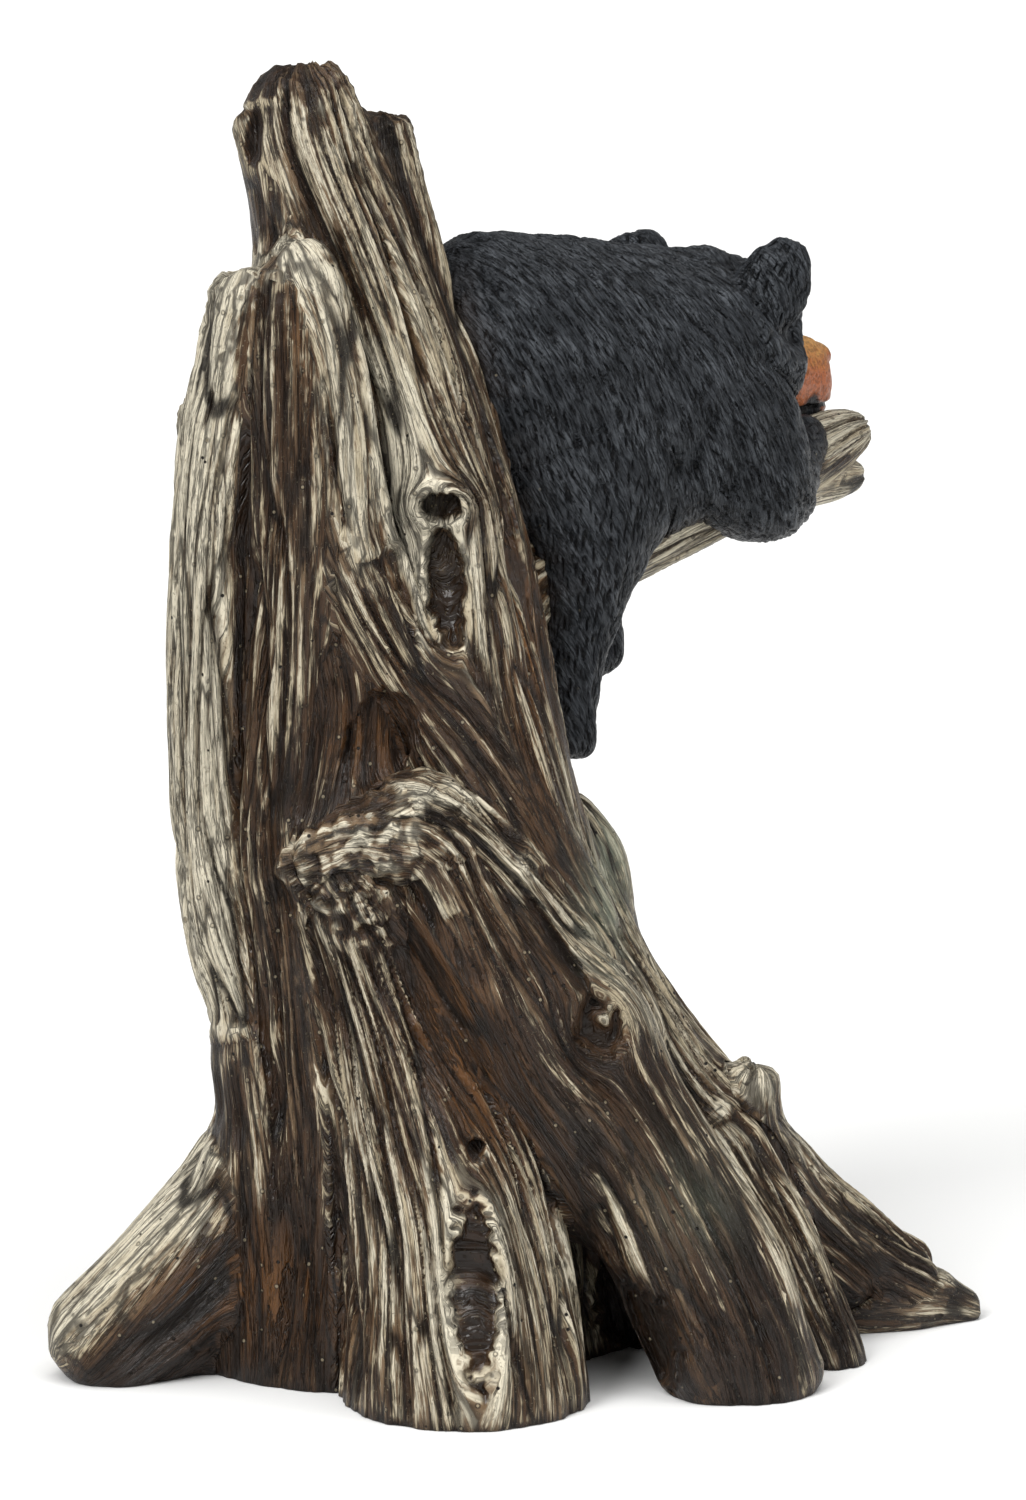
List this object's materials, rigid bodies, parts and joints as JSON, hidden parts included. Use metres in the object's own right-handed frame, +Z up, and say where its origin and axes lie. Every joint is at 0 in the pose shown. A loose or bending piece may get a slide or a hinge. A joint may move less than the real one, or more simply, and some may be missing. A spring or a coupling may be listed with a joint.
{
  "type": "bear figurine",
  "caption": "Cast resin figurine of a black bear asleep along the branch of a broken, weathered stump with spreading roots.",
  "frame": {"origin": "middle of the piece's box, on the surface it stands on", "axes": "+Z up along the stump; +X towards the side the branch and the longest root reach to; +Y towards the side the bear faces, so that -Y is the side the picture shows"},
  "size_m": [0.2184, 0.1822, 0.3008],
  "materials": {
    "painted_resin": "cast resin, hand painted: dark brown stain with cream dry-brushed ridges on the wood, charcoal black on the bear, tan on its muzzle, under a satin varnish"
  },
  "bodies": {
    "root": {"bear_on_stump": "painted_resin"}
  },
  "joints": []
}
